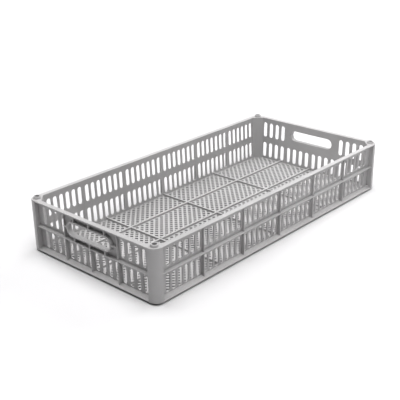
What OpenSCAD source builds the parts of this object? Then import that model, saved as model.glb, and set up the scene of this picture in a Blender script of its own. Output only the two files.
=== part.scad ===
// Open stacking crate for poultry: slotted walls, diamond lattice floor, two handle holes.
// Millimetres, +Z up. The origin is on the table under the middle of the crate, +X runs along its length.

/* [Overall size] */
// Outside length of the rim
length = 780; // [600:5:1000]
// Outside width of the rim
width = 382; // [300:1:600]
// Height of the rim top above the table
height = 120.5; // [100:0.5:200]
// Height of the outer lower edge above the table
foot_gap = 4.8; // [1:0.1:8]

/* [Walls] */
// Thickness of the wall panels
wall_thickness = 2.4; // [1.6:0.1:4]
// Lean of every wall panel, inwards towards the floor, in degrees
wall_draft = 2.3; // [0:0.1:5]

/* [Rim] */
// Width of the flat rim band
rim_width = 11.2; // [8:0.1:20]
// Thickness of the rim band
rim_thickness = 2.8; // [2:0.1:6]
// Radius of the outer corners
corner_radius = 18; // [10:1:30]
// Reach of a corner post along each side
post_reach = 21; // [19:0.5:30]
// Leg of the 45 degree panel across each inner corner
corner_chamfer = 20.5; // [10:0.5:40]

/* [Slots] */
// Width of one wall slot
slot_width = 11.7; // [5:0.1:20]
// Height of one wall slot
slot_height = 40.4; // [20:0.1:60]
// Height of the middle of the lower row of slots
lower_row = 31.9; // [25:0.1:40]
// Height of the middle of the upper row of slots
upper_row = 88.3; // [70:0.1:100]

/* [Long walls] */
// Distance between the upright ribs of a long wall
long_bay = 124.5; // [80:0.5:200]
// Slots in one bay of a long wall
long_slots = 7; // [3:1:10]
// Distance between neighbouring slots of a long wall
long_pitch = 17.2; // [14:0.1:30]

/* [End walls] */
// Distance between the upright ribs of an end wall
end_bay = 80.8; // [60:0.5:120]
// Slots in one bay of an end wall
end_slots = 4; // [2:1:6]
// Distance between neighbouring slots of an end wall
end_pitch = 19.8; // [14:0.1:30]

/* [Ribs] */
// Thickness of the upright ribs
rib_thickness = 2.4; // [1.6:0.1:5]
// Distance of the upright ribs behind the outer face of the rim
rib_recess = 5.2; // [2:0.1:8]
// Thickness of the level rib round the middle of each wall
belt_thickness = 2.4; // [1.6:0.1:5]
// Distance of the level rib behind the outer face of the rim
belt_recess = 2.2; // [0:0.1:6]
// Height of the middle of the level rib
belt_height = 61; // [50:0.1:65]

/* [Skirt] */
// Height where the sloping skirt meets the wall
skirt_root = 9.9; // [6:0.1:14]
// Thickness of the skirt
skirt_thickness = 2.2; // [1.5:0.1:4]
// Height of the upright edge of the skirt
skirt_edge = 1; // [0.5:0.1:3]

/* [Handles] */
// Length of the handle hole
handle_length = 128; // [90:1:160]
// Height of the handle hole
handle_height = 27; // [20:1:35]
// Height of the middle of the handle hole
handle_middle = 89.1; // [80:0.1:95]
// Thickness of the collar round the handle hole
collar_thickness = 3.4; // [1.6:0.1:5]
// Distance of the collar behind the outer face of the rim
collar_recess = 0.8; // [0:0.1:6]
// Thickness of the small ribs round the collar
brace_thickness = 2.8; // [1:0.1:4]
// Distance of the small ribs behind the outer face of the rim
brace_recess = 2.6; // [0:0.1:8]
// Distance between the small ribs above and below the collar
brace_pitch = 47; // [20:1:60]

/* [Floor] */
// Height of the top of the floor
floor_top = 6.5; // [4:0.1:12]
// Thickness of the floor
floor_thickness = 3.2; // [1.5:0.1:4]
// Distance between neighbouring holes along the length and along the width
lattice_pitch = 15.7; // [10:0.1:30]
// Side of one square floor hole
hole_side = 6.8; // [3:0.1:12]
// Lattice steps between the crosswise ridges
steps_along = 12; // [6:1:24]
// Lattice steps between the lengthwise ridges
steps_across = 6; // [3:1:12]
// Shift of the lattice along the length, away from the crosswise ridges
lattice_shift = 4; // [0:0.1:8]
// Width of a floor ridge
ridge_width = 4; // [1.5:0.1:6]
// Height of a floor ridge above the floor
ridge_height = 4.8; // [0.5:0.1:8]
// Solid strip left beside ridges and walls
floor_margin = 1; // [0.5:0.1:6]

/* [Stacking bosses] */
// Distance of each boss centre from both outer faces
boss_inset = 14; // [12:0.1:20]
// Height of a boss above the rim
boss_height = 5; // [2:0.5:10]
// Diameter of a boss at its foot
boss_foot = 17.4; // [10:0.1:20]
// Diameter of a boss at its top
boss_top = 14.8; // [8:0.1:20]
// Diameter of the hole through a boss and the rim
boss_bore = 10.4; // [3:0.1:12]
// Clearance round a boss inside the corner post of the crate above
socket_clearance = 0.8; // [0.4:0.1:2]

/* [Hidden] */
$fn = 64;
fuse = 0.02;
rim_low = height - rim_thickness;
lean = tan(wall_draft);
corner_size = rim_width + corner_chamfer;
belt_low = belt_height - belt_thickness / 2;
belt_high = belt_height + belt_thickness / 2;
floor_low = floor_top - floor_thickness;
ridge_top = floor_top + ridge_height;
socket_top = foot_gap + boss_height + socket_clearance;
brace_ends = end_bay - rib_thickness / 2;

plastic = [0.66, 0.66, 0.65];
light_plastic = [0.76, 0.75, 0.73];

// A side is named by the direction it faces: right 0, back 90, left 180, front 270.
// Half the outside size of the crate towards a side.
function half(side) = side % 180 == 0 ? length / 2 : width / 2;

// Distance from the middle of the crate to the inner and outer face of a wall at a height.
function inner(side, z) = half(side) - rim_width - (height - z) * lean;
function outer(side, z) = inner(side, z) + wall_thickness;

// Height of the top of the skirt at a distance behind its outer edge.
function skirt_at(side, back) =
    let (run = half(side) - outer(side, skirt_root))
    foot_gap + skirt_edge + (skirt_root - foot_gap - skirt_edge) * back / run;

// Sweeps a section, drawn as distance outwards and height, along one side of the crate.
module along(side, run, at = 0)
    rotate([0, 0, side])
        translate([0, at, 0])
            rotate([90, 0, 0])
                linear_extrude(run, center = true)
                    children();

// Pushes an outline, drawn as distance along the side and height, out through one side.
module through(side, from, to)
    rotate([0, 0, side])
        translate([from, 0, 0])
            rotate([90, 0, 90])
                linear_extrude(to - from)
                    children();

// Puts a corner drawn at the origin, with +X and +Y pointing into the crate, at one of the corners.
module at_corner(right, back)
    mirror([right, 0, 0])
        mirror([0, back, 0])
            translate([-length / 2, -width / 2, 0])
                children();

// A slot outline with round ends, as wide as w and as tall as h, whichever way is longer.
module stadium(w, h) {
    r = min(w, h) / 2;
    square(w > h ? [w - h, h] : [w, h - w], center = true);
    for (end = [-1, 1])
        translate(w > h ? [end * (w / 2 - r), 0] : [0, end * (h / 2 - r)])
            circle(r);
}

// Section from the outer face of a wall to a plane behind the rim's outer face.
module rib_section(side, low, high, recess, low_outside = undef)
    polygon([
        [outer(side, low), low],
        [half(side) - recess, is_undef(low_outside) ? low : low_outside],
        [half(side) - recess, high],
        [outer(side, high), high],
    ]);

// The room inside the four walls, pushed out by a distance.
module well(grow = 0)
    intersection() {
        for_side(0, grow);
        for_side(90, grow);
    }

module for_side(side, grow)
    along(side, 3 * length)
        polygon([
            [inner(side, height) + grow, height],
            [inner(side, -1) + grow, -1],
            [-inner(side, -1) - grow, -1],
            [-inner(side, height) - grow, height],
        ]);

/* ---- walls ---- */

module wall_section(side)
    polygon([
        [inner(side, 0), 0],
        [inner(side, rim_low), rim_low],
        [outer(side, rim_low), rim_low],
        [outer(side, 0), 0],
    ]);

// A wall panel between the corner posts, with an outline cut through it.
module wall(side)
    color(plastic)
        difference() {
            along(side, 2 * (half(side + 90) - corner_size)) wall_section(side);
            through(side, half(side) - 3 * rim_width, half(side)) children();
        }

// One row of slots, in bays, leaving out any that come too near the corner posts.
module slot_row(bays, bay, count, pitch, limit, skip = 0)
    for (b = [0:bays - 1], s = [0:count - 1]) {
        at = (b - (bays - 1) / 2) * bay + (s - (count - 1) / 2) * pitch;
        if (abs(at) < limit && abs(at) > skip)
            translate([at, 0]) stadium(slot_width, slot_height);
    }

module long_wall(side)
    wall(side)
        for (z = [lower_row, upper_row])
            translate([0, z])
                slot_row(6, long_bay, long_slots, long_pitch, length / 2 - corner_size - slot_width / 2);

module end_wall(side)
    wall(side) {
        limit = width / 2 - corner_size;
        translate([0, lower_row]) slot_row(4, end_bay, end_slots, end_pitch, limit);
        translate([0, upper_row]) slot_row(4, end_bay, end_slots, end_pitch, limit, end_bay);
        translate([0, handle_middle]) stadium(handle_length, handle_height);
    }

/* ---- corners ---- */

// Outline of an outer corner as far as a size along both sides, set in by a skin thickness.
module corner_outline(size, skin = 0)
    intersection() {
        union() {
            translate([corner_radius, corner_radius]) circle(corner_radius - skin);
            translate([corner_radius, skin]) square(size);
            translate([skin, corner_radius]) square(size);
        }
        square(size - skin);
    }

// The rounded skin of a post with its two side faces, open below.
module post_skin()
    difference() {
        translate([0, 0, foot_gap])
            linear_extrude(rim_low - foot_gap)
                difference() {
                    corner_outline(post_reach);
                    corner_outline(post_reach, wall_thickness);
                }
        translate([length / 2, width / 2, 0]) well(wall_thickness);
    }

// The short piece of wall between a post's side face and the slotted panel.
module post_stub(side, turn) {
    inside = post_reach - wall_thickness;
    run = corner_size - inside;
    translate([length / 2, width / 2, 0])
        along(side, run, turn * (half(side + 90) - inside - run / 2)) wall_section(side);
}

// The plain panel across the inner corner.
module post_panel() {
    top = (2 * rim_width + corner_chamfer) / sqrt(2);
    function face(z) = top + (height - z) * lean;
    intersection() {
        rotate([0, 0, 45])
            rotate([90, 0, 0])
                linear_extrude(4 * corner_chamfer, center = true)
                    polygon([
                        [face(0), 0],
                        [face(rim_low), rim_low],
                        [face(rim_low) - wall_thickness, rim_low],
                        [face(0) - wall_thickness, 0],
                    ]);
        translate([length / 2, width / 2, 0]) well(fuse);
    }
}

module corner_post(right, back)
    color(plastic)
        at_corner(right, back)
            difference() {
                union() {
                    post_skin();
                    post_stub(270, -1);
                    post_stub(180, 1);
                    post_panel();
                }
                translate([boss_inset, boss_inset, -1])
                    cylinder(h = socket_top + 1, d = boss_foot + 2 * socket_clearance);
            }

/* ---- rim ---- */

module rim(side)
    color(light_plastic)
        along(side, 2 * (half(side + 90) - corner_size))
            polygon([
                [inner(side, height), rim_low],
                [half(side), rim_low],
                [half(side), height],
                [inner(side, height), height],
            ]);

// Wide plate on top of a corner post, round outside and cut off at 45 degrees inside.
module rim_corner(right, back)
    color(light_plastic)
        at_corner(right, back)
            translate([0, 0, rim_low])
                linear_extrude(rim_thickness)
                    difference() {
                        corner_outline(corner_size);
                        polygon([
                            [corner_size, rim_width],
                            [corner_size + 1, corner_size + 1],
                            [rim_width, corner_size],
                        ]);
                        translate([boss_inset, boss_inset]) circle(d = boss_bore);
                    }

module boss(right, back)
    color(light_plastic)
        at_corner(right, back)
            translate([boss_inset, boss_inset, height])
                difference() {
                    cylinder(h = boss_height, d1 = boss_foot, d2 = boss_top);
                    translate([0, 0, -1]) cylinder(h = boss_height + 2, d = boss_bore);
                }

/* ---- skirt, belt and upright ribs ---- */

module skirt(side)
    color(plastic)
        along(side, 2 * (half(side + 90) - post_reach))
            polygon([
                [outer(side, skirt_root - skirt_thickness), skirt_root - skirt_thickness],
                [half(side), foot_gap],
                [half(side), foot_gap + skirt_edge],
                [outer(side, skirt_root), skirt_root],
            ]);

module belt(side)
    color(plastic)
        along(side, 2 * (half(side + 90) - post_reach))
            rib_section(side, belt_low, belt_high, belt_recess);

// Upright ribs at these distances along a side, above and below the belt.
module upright_ribs(side, above, below)
    color(plastic) {
        for (at = above)
            along(side, rib_thickness, at) rib_section(side, belt_high, rim_low, rib_recess);
        for (at = below)
            along(side, rib_thickness, at)
                rib_section(side, skirt_root, belt_low, rib_recess, skirt_at(side, rib_recess));
    }

module long_ribs(side) {
    places = [for (i = [-2:2]) i * long_bay];
    upright_ribs(side, places, places);
}

module end_ribs(side)
    upright_ribs(side, [-end_bay, end_bay], [-end_bay, 0, end_bay]);

/* ---- handles ---- */

module collar_outline(grow)
    translate([0, handle_middle])
        stadium(handle_length + 2 * grow, handle_height + 2 * grow);

module handle_collar(side)
    color(light_plastic)
        difference() {
            through(side, half(side) - 3 * rim_width, half(side) - collar_recess)
                difference() {
                    collar_outline(collar_thickness);
                    collar_outline(0);
                }
            well(wall_thickness);
        }

// Small ribs that hold the collar to the rim, the belt and the upright ribs.
module handle_braces(side)
    color(plastic)
        difference() {
            through(side, half(side) - 3 * rim_width, half(side) - brace_recess)
                difference() {
                    union() {
                        for (i = [-1:1])
                            translate([i * brace_pitch - brace_thickness / 2, belt_high])
                                square([brace_thickness, rim_low - belt_high]);
                        translate([-brace_ends, handle_middle - brace_thickness / 2])
                            square([2 * brace_ends, brace_thickness]);
                    }
                    collar_outline(collar_thickness);
                }
            well(wall_thickness);
        }

/* ---- floor ---- */

// Outline of the room inside the walls at a height, less a margin.
module floor_outline(z, margin = 0) {
    x = inner(0, z) - margin;
    y = inner(90, z) - margin;
    leg = corner_chamfer - (2 - sqrt(2)) * ((height - z) * lean + margin);
    polygon([
        [x, y - leg], [x - leg, y], [leg - x, y], [-x, y - leg],
        [-x, leg - y], [leg - x, -y], [x - leg, -y], [x, leg - y],
    ]);
}

// A rectangle between two crosswise and two lengthwise ridge lines, less a margin.
module floor_cell(column, columns, row, rows, margin = 0) {
    x = steps_along * lattice_pitch;
    y = steps_across * lattice_pitch;
    translate([column * x + margin, row * y + margin])
        square([columns * x - 2 * margin, rows * y - 2 * margin]);
}

// Rows of square holes turned by 45 degrees, over one cell. Every other row is moved on by half
// a step, and no row falls on a lengthwise ridge.
module diamonds(column, row)
    for (j = [0.5:0.5:steps_across - 0.5], i = [-1:steps_along])
        translate([
            (column * steps_along + i + j % 1) * lattice_pitch + lattice_shift,
            (row * steps_across + j) * lattice_pitch,
        ])
            circle(r = hole_side / sqrt(2), $fn = 4);

// One of the four floor sections, from a crosswise ridge line to the next or to the end wall.
module floor_section(column)
    color(light_plastic)
        translate([0, 0, floor_low])
            linear_extrude(floor_thickness)
                difference() {
                    intersection() {
                        floor_outline(floor_low);
                        floor_cell(column, 1, -3, 6);
                    }
                    for (row = [-2:1])
                        intersection() {
                            diamonds(column, row);
                            floor_cell(column, 1, row, 1, ridge_width / 2 + floor_margin);
                            floor_outline(floor_low, 2 * floor_margin);
                        }
                }

module ridge_lengthwise(row)
    color(light_plastic)
        translate([-inner(0, floor_top), row * steps_across * lattice_pitch - ridge_width / 2, floor_top])
            cube([2 * inner(0, floor_top), ridge_width, ridge_height]);

// A ridge across the crate, in pieces between the lengthwise ridges and the walls.
module ridge_crosswise(column)
    color(light_plastic)
        difference() {
            translate([column * steps_along * lattice_pitch - ridge_width / 2, -inner(90, floor_top), floor_top])
                cube([ridge_width, 2 * inner(90, floor_top), ridge_height]);
            for (row = [-1:1])
                translate([-length / 2, row * steps_across * lattice_pitch - ridge_width / 2, floor_top - 1])
                    cube([length, ridge_width, ridge_height + 2]);
        }

floor_section(-2);  // floor_left
floor_section(-1);  // floor_middle_left
floor_section(0);  // floor_middle_right
floor_section(1);  // floor_right
ridge_lengthwise(1);  // ridge_lengthwise_back
ridge_lengthwise(0);  // ridge_lengthwise_middle
ridge_lengthwise(-1);  // ridge_lengthwise_front
ridge_crosswise(-1);  // ridge_crosswise_left
ridge_crosswise(0);  // ridge_crosswise_middle
ridge_crosswise(1);  // ridge_crosswise_right
long_wall(270);  // wall_front
long_wall(90);  // wall_back
end_wall(180);  // wall_left
end_wall(0);  // wall_right
corner_post(0, 0);  // corner_post_front_left
corner_post(1, 0);  // corner_post_front_right
corner_post(0, 1);  // corner_post_back_left
corner_post(1, 1);  // corner_post_back_right
rim(270);  // rim_front
rim(90);  // rim_back
rim(180);  // rim_left
rim(0);  // rim_right
rim_corner(0, 0);  // rim_corner_front_left
rim_corner(1, 0);  // rim_corner_front_right
rim_corner(0, 1);  // rim_corner_back_left
rim_corner(1, 1);  // rim_corner_back_right
boss(0, 0);  // boss_front_left
boss(1, 0);  // boss_front_right
boss(0, 1);  // boss_back_left
boss(1, 1);  // boss_back_right
skirt(270);  // skirt_front
skirt(90);  // skirt_back
skirt(180);  // skirt_left
skirt(0);  // skirt_right
belt(270);  // belt_front
belt(90);  // belt_back
belt(180);  // belt_left
belt(0);  // belt_right
long_ribs(270);  // upright_ribs_front
long_ribs(90);  // upright_ribs_back
end_ribs(180);  // upright_ribs_left
end_ribs(0);  // upright_ribs_right
handle_collar(180);  // handle_collar_left
handle_collar(0);  // handle_collar_right
handle_braces(180);  // handle_braces_left
handle_braces(0);  // handle_braces_right
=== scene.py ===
"""Looks of the stacking poultry crate: grey moulded plastic in a white studio, seen as in the photograph."""
import math

import bmesh
import bpy
from mathutils import Matrix, Vector
from mathutils.bvhtree import BVHTree


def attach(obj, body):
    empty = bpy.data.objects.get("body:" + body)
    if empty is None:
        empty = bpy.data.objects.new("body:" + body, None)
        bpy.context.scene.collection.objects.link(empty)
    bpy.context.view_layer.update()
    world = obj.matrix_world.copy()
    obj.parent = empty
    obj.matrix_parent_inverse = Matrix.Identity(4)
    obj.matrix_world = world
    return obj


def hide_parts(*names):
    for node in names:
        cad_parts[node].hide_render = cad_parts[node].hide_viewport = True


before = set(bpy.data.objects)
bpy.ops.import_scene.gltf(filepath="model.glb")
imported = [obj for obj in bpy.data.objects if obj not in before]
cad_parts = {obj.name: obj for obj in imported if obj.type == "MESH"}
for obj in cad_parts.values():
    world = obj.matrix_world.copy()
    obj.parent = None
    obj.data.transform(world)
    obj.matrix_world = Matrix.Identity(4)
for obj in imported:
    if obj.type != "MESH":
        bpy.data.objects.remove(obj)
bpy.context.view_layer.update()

MM = 0.001

# Camera: place in metres, heading from +X towards +Y, tilt below the horizon, roll, and the frame:
# lens and sensor width in millimetres, shift as a share of the picture's width.
CAMERA_PLACE = Vector((-1.2779, -1.1243, 0.7674))
CAMERA_HEADING = math.radians(43.525)
CAMERA_TILT = math.radians(23.498)
CAMERA_ROLL = math.radians(-1.384)
CAMERA_LENS = 71.1
CAMERA_SENSOR = 36.0
CAMERA_SHIFT = (0.0274, 0.0150)
NEAREST_SEEN = 0.05
FARTHEST_SEEN = 50.0

# Softboxes far away: the direction each one shines from, and its strength. All have one spread, in degrees.
SOFTBOXES = {
    "top": ((0, 0, 1), 3.8),
    "front": ((0, -1, 1), 1.2),
    "back": ((0, 1, 1), 1.2),
    "right": ((1, 0, 0.35), 2.6),
}
SOFTBOX_SPREAD = 50

# Soft lamps that each light a part of the crate: place and target in metres, power in watts, radius in metres
# and cone in degrees.
LAMPS = {
    "far_end": (Vector((-0.22, -0.12, 1.05)), Vector((0.38, 0.0, 0.05)), 26.0, 0.22, 45),
    "right_front": (Vector((-0.75, -0.55, 0.40)), Vector((0.36, -0.19, 0.06)), 16.0, 0.15, 20),
}

# Backdrop: its radius and height in metres, the sides of its ring and the strength of its glow.
BACKDROP_RADIUS = 14.0
BACKDROP_HEIGHT = 4.6
BACKDROP_SIDES = 96
BACKDROP_GLOW = 1.0

# Colours, as linear red, green and blue.
TABLE_WHITE = (0.535, 0.531, 0.537)
GREY = (0.336, 0.330, 0.331)
# A lighter grey for the rounded edges: a painted highlight where light catches them.
EDGE_HIGHLIGHT_GREY = (0.386, 0.380, 0.381)

# Table: dull and nearly without gloss.
TABLE_ROUGHNESS = 0.9
TABLE_GLOSS = 0.1

# Plastic: how fine each pattern is, in bumps per metre.
CLOUDS = 9.0
WAVES = 30.0
GLOSS_PATCHES = 45.0
SCUFFS = 160.0
GRAIN = 1400.0

# Plastic: the part of each noise, from 0 to 1, over which its pattern goes from none to full.
CLOUD_RANGE = (0.35, 0.65)
GLOSS_RANGE = (0.3, 0.7)
SCUFF_RANGE = (0.62, 0.72)

# Plastic: shades of the clouds and scuffs as shares of its colour, and the share of a scuff that shows.
DARK_CLOUD = 0.93
LIGHT_CLOUD = 1.05
SCUFF_SHADE = 1.18
SCUFF_STRENGTH = 0.35

# Plastic: depths and strengths of its bumps, its range of roughness and its refraction.
WAVE_DEPTH = 0.4 * MM
WAVE_STRENGTH = 0.3
GRAIN_DEPTH = 0.15 * MM
GRAIN_STRENGTH = 0.25
SMOOTHEST = 0.38
ROUGHEST = 0.56
REFRACTION = 1.49

# Radius of the rounded outer edges, in millimetres, by the start of a piece's name. The rounded faces take
# the lighter material in the highlight slot: a painted highlight along the edges.
ROUNDING = {
    "floor": 0.3,
    "ridge": 1.0,
    "wall": 0.35,
    "corner_post": 0.5,
    "rim": 0.6,
    "boss": 0.4,
    "skirt": 0.4,
    "belt": 0.7,
    "upright_ribs": 0.7,
    "handle_collar": 0.9,
    "handle_braces": 0.5,
}
BEVEL_STEPS = 2
# Material slot of the lighter grey, the painted edge highlight.
HIGHLIGHT_SLOT = 1

# Edges that turn more than SHARP are rounded. Faces that turn less than FLAT are joined, and those that turn
# less than SMOOTH are shaded as one.
SHARP = math.radians(25)
FLAT = math.radians(0.3)
SMOOTH = math.radians(12)

# Points closer than WELD are one. A piece closer than TOUCH is a neighbour. It is looked for a PROBE outside
# an edge, at STATIONS given as shares of its length, or only at its middle if it is shorter than SHORT_EDGE.
WELD = 0.001 * MM
TOUCH = 0.15 * MM
PROBE = 0.7 * TOUCH
SHORT_EDGE = 3 * MM
STATIONS = (0.08, 0.5, 0.92)


def make_camera():
    """A camera at the photograph's viewing angle."""
    data = bpy.data.cameras.new("camera")
    data.lens = CAMERA_LENS
    data.sensor_width = CAMERA_SENSOR
    data.shift_x, data.shift_y = CAMERA_SHIFT
    data.clip_start = NEAREST_SEEN
    data.clip_end = FARTHEST_SEEN
    camera = bpy.data.objects.new("camera", data)
    bpy.context.collection.objects.link(camera)
    ahead = Vector((
        math.cos(CAMERA_HEADING) * math.cos(CAMERA_TILT),
        math.sin(CAMERA_HEADING) * math.cos(CAMERA_TILT),
        -math.sin(CAMERA_TILT),
    ))
    level = Vector((math.sin(CAMERA_HEADING), -math.cos(CAMERA_HEADING), 0.0))
    upright = level.cross(ahead)
    right = level * math.cos(CAMERA_ROLL) + upright * math.sin(CAMERA_ROLL)
    up = upright * math.cos(CAMERA_ROLL) - level * math.sin(CAMERA_ROLL)
    turn = Matrix((right, up, -ahead)).transposed().to_4x4()
    camera.matrix_world = Matrix.Translation(CAMERA_PLACE) @ turn
    bpy.context.scene.camera = camera


def add_light(name, kind, power, place, ahead):
    """A light of one kind at a place, shining ahead."""
    light = bpy.data.lights.new(name, kind)
    light.energy = power
    lamp = bpy.data.objects.new(name, light)
    lamp.location = place
    lamp.rotation_euler = ahead.to_track_quat("-Z", "Y").to_euler()
    bpy.context.collection.objects.link(lamp)
    return light


def make_lights():
    """Wide softboxes above and around the crate, soft lamps for parts of it, and a dark sky."""
    for name, (source, strength) in SOFTBOXES.items():
        softbox = add_light(name, "SUN", strength, Vector(source), -Vector(source))
        softbox.angle = math.radians(SOFTBOX_SPREAD)
    for name, (place, target, power, radius, cone) in LAMPS.items():
        lamp = add_light(name, "SPOT", power, place, target - place)
        lamp.shadow_soft_size = radius
        lamp.spot_size = math.radians(cone)
        lamp.spot_blend = 1.0
    world = bpy.data.worlds.new("studio")
    world.use_nodes = True
    world.node_tree.nodes["Background"].inputs["Strength"].default_value = 0.0
    bpy.context.scene.world = world
    bpy.context.scene.view_settings.view_transform = "Standard"


def make_backdrop():
    """A low white wall far round the floor, for low views. It casts no shadow and no diffuse light."""
    mesh = bpy.data.meshes.new("studio_backdrop")
    count = BACKDROP_SIDES
    turns = [2 * math.pi * i / count for i in range(count)]
    points = [
        (BACKDROP_RADIUS * math.cos(turn), BACKDROP_RADIUS * math.sin(turn), z)
        for z in (0, BACKDROP_HEIGHT) for turn in turns
    ]
    walls = [(i, (i + 1) % count, (i + 1) % count + count, i + count) for i in range(count)]
    mesh.from_pydata(points, [], walls)
    backdrop = bpy.data.objects.new("studio_backdrop", mesh)
    backdrop.visible_shadow = False
    backdrop.visible_diffuse = False
    bpy.context.collection.objects.link(backdrop)
    material = bpy.data.materials.new("white_backdrop")
    material.use_nodes = True
    shader = material.node_tree.nodes["Principled BSDF"]
    shader.inputs["Base Color"].default_value = (0.0, 0.0, 0.0, 1.0)
    shader.inputs["Emission Color"].default_value = (1.0, 1.0, 1.0, 1.0)
    shader.inputs["Emission Strength"].default_value = BACKDROP_GLOW
    backdrop.data.materials.append(material)


def make_floor():
    """A plain pale floor on which the crate stands."""
    half = BACKDROP_RADIUS
    mesh = bpy.data.meshes.new("studio_floor")
    corners = [(-half, -half, 0), (half, -half, 0), (half, half, 0), (-half, half, 0)]
    mesh.from_pydata(corners, [], [(0, 1, 2, 3)])
    floor = bpy.data.objects.new("studio_floor", mesh)
    bpy.context.collection.objects.link(floor)
    material = bpy.data.materials.new("pale_floor")
    material.use_nodes = True
    shader = material.node_tree.nodes["Principled BSDF"]
    shader.inputs["Base Color"].default_value = (*TABLE_WHITE, 1.0)
    shader.inputs["Roughness"].default_value = TABLE_ROUGHNESS
    shader.inputs["Specular IOR Level"].default_value = TABLE_GLOSS
    floor.data.materials.append(material)


def mix_colour(nodes, links, factor, first, second):
    """Mixes two colours, or sockets, by a factor socket."""
    node = nodes.new("ShaderNodeMix")
    node.data_type = "RGBA"
    links.new(factor, node.inputs["Factor"])
    for name, value in (("A", first), ("B", second)):
        socket = [s for s in node.inputs if s.name == name and s.type == "RGBA"][0]
        if isinstance(value, tuple):
            socket.default_value = (*value, 1.0)
        else:
            links.new(value, socket)
    return [s for s in node.outputs if s.type == "RGBA"][0]


def noise(nodes, links, place, scale, detail=3.0, rough=0.5):
    """A noise texture's value at the object's own coordinates, scale in bumps per metre."""
    node = nodes.new("ShaderNodeTexNoise")
    node.inputs["Scale"].default_value = scale
    node.inputs["Detail"].default_value = detail
    node.inputs["Roughness"].default_value = rough
    links.new(place, node.inputs["Vector"])
    return node.outputs["Fac"]


def remap(nodes, links, value, low, high, to_low, to_high):
    """Maps one range of a value to another, clamped."""
    node = nodes.new("ShaderNodeMapRange")
    links.new(value, node.inputs["Value"])
    for name, number in (("From Min", low), ("From Max", high), ("To Min", to_low), ("To Max", to_high)):
        node.inputs[name].default_value = number
    return node.outputs["Result"]


def shade(colour, share):
    """A colour made darker or lighter."""
    return tuple(share * part for part in colour)


def moulded_plastic(name, colour):
    """Satin polypropylene with faint flow clouds, light scuffs, uneven gloss and a fine moulded grain."""
    material = bpy.data.materials.new(name)
    material.use_nodes = True
    nodes, links = material.node_tree.nodes, material.node_tree.links
    shader = nodes["Principled BSDF"]
    place = nodes.new("ShaderNodeTexCoord").outputs["Object"]

    clouds = remap(nodes, links, noise(nodes, links, place, CLOUDS), *CLOUD_RANGE, 0.0, 1.0)
    base = mix_colour(nodes, links, clouds, shade(colour, DARK_CLOUD), shade(colour, LIGHT_CLOUD))

    scuffs = noise(nodes, links, place, SCUFFS, detail=6.0, rough=0.7)
    scuffs = remap(nodes, links, scuffs, *SCUFF_RANGE, 0.0, SCUFF_STRENGTH)
    scuffed = mix_colour(nodes, links, scuffs, base, shade(colour, SCUFF_SHADE))
    links.new(scuffed, shader.inputs["Base Color"])

    patches = noise(nodes, links, place, GLOSS_PATCHES, detail=4.0, rough=0.6)
    gloss = remap(nodes, links, patches, *GLOSS_RANGE, SMOOTHEST, ROUGHEST)
    links.new(gloss, shader.inputs["Roughness"])

    grain = nodes.new("ShaderNodeBump")
    grain.inputs["Strength"].default_value = GRAIN_STRENGTH
    grain.inputs["Distance"].default_value = GRAIN_DEPTH
    links.new(noise(nodes, links, place, GRAIN, detail=2.0), grain.inputs["Height"])
    waves = nodes.new("ShaderNodeBump")
    waves.inputs["Strength"].default_value = WAVE_STRENGTH
    waves.inputs["Distance"].default_value = WAVE_DEPTH
    links.new(noise(nodes, links, place, WAVES, detail=2.0), waves.inputs["Height"])
    links.new(grain.outputs["Normal"], waves.inputs["Normal"])
    links.new(waves.outputs["Normal"], shader.inputs["Normal"])
    shader.inputs["IOR"].default_value = REFRACTION
    return material


def piece_trees():
    """A search tree and the bounds of every CAD node."""
    view = bpy.context.evaluated_depsgraph_get()
    trees = {}
    for name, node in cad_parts.items():
        corners = [node.matrix_world @ Vector(corner) for corner in node.bound_box]
        low = [min(corner[i] for corner in corners) - TOUCH for i in range(3)]
        high = [max(corner[i] for corner in corners) + TOUCH for i in range(3)]
        trees[name] = (BVHTree.FromObject(node, view), low, high)
    return trees


def against_another(point, own, trees):
    """Whether a point lies inside another piece or close against it."""
    for name, (tree, low, high) in trees.items():
        if name == own or not all(low[i] < point[i] < high[i] for i in range(3)):
            continue
        place, normal, _, distance = tree.find_nearest(point)
        if distance < TOUCH or (point - place).dot(normal) < 0:
            return True
    return False


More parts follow.
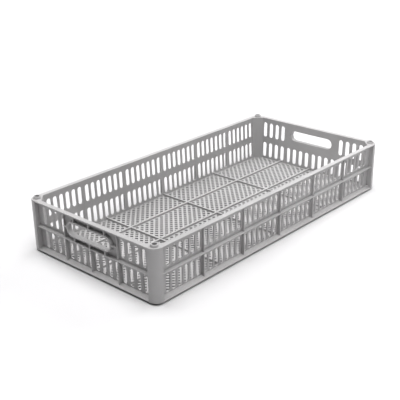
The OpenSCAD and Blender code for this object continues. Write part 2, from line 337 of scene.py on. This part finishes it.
def free_edge(edge, own, trees):
    """Whether an edge is a sharp outer edge that no neighbouring piece continues."""
    if len(edge.link_faces) != 2 or not edge.is_convex or edge.calc_face_angle() < SHARP:
        return False
    start, end = (vertex.co for vertex in edge.verts)
    out = (edge.link_faces[0].normal + edge.link_faces[1].normal).normalized() * PROBE
    stations = (0.5,) if (end - start).length < SHORT_EDGE else STATIONS
    return not any(against_another(start.lerp(end, t) + out, own, trees) for t in stations)


def rounded_copy(name, radius, trees):
    """Copies a CAD node and rounds its outer edges, leaving the seams to its neighbours closed."""
    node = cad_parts[name]
    shape = bmesh.new()
    shape.from_mesh(node.data)
    bmesh.ops.remove_doubles(shape, verts=shape.verts, dist=WELD)
    # Joining points flattens hair-thin slivers, which can leave a face hanging on an open edge.
    stray = [face for face in shape.faces if any(len(edge.link_faces) == 1 for edge in face.edges)]
    bmesh.ops.delete(shape, geom=stray, context="FACES")
    bmesh.ops.dissolve_limit(shape, angle_limit=FLAT, verts=shape.verts, edges=shape.edges)
    shape.normal_update()
    edges = [edge for edge in shape.edges if free_edge(edge, name, trees)]
    # The rounded faces take the lighter material, a painted highlight on the edges.
    bmesh.ops.bevel(
        shape, geom=edges, offset=radius, segments=BEVEL_STEPS, profile=0.5, affect="EDGES",
        clamp_overlap=True, loop_slide=True, material=HIGHLIGHT_SLOT,
    )
    mesh = bpy.data.meshes.new(name + "_rounded")
    shape.to_mesh(mesh)
    shape.free()
    for face in mesh.polygons:
        face.use_smooth = True
    mesh.set_sharp_from_angle(angle=SMOOTH)
    copy = bpy.data.objects.new(name + "_rounded", mesh)
    copy.matrix_world = node.matrix_world
    bpy.context.collection.objects.link(copy)
    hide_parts(name)
    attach(copy, "root")
    return copy


make_camera()
make_lights()
make_floor()
make_backdrop()

plastic = moulded_plastic("grey_plastic", GREY)
# The lighter copy of the plastic is a painted highlight on the rounded edges.
painted_highlight = moulded_plastic("grey_plastic_painted_highlight", EDGE_HIGHLIGHT_GREY)
trees = piece_trees()
for name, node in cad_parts.items():
    radius = next(size for start, size in ROUNDING.items() if name.startswith(start))
    piece = rounded_copy(name, radius * MM, trees)
    for copy in (node, piece):
        copy.data.materials.clear()
        copy.data.materials.append(plastic)
        copy.data.materials.append(painted_highlight)
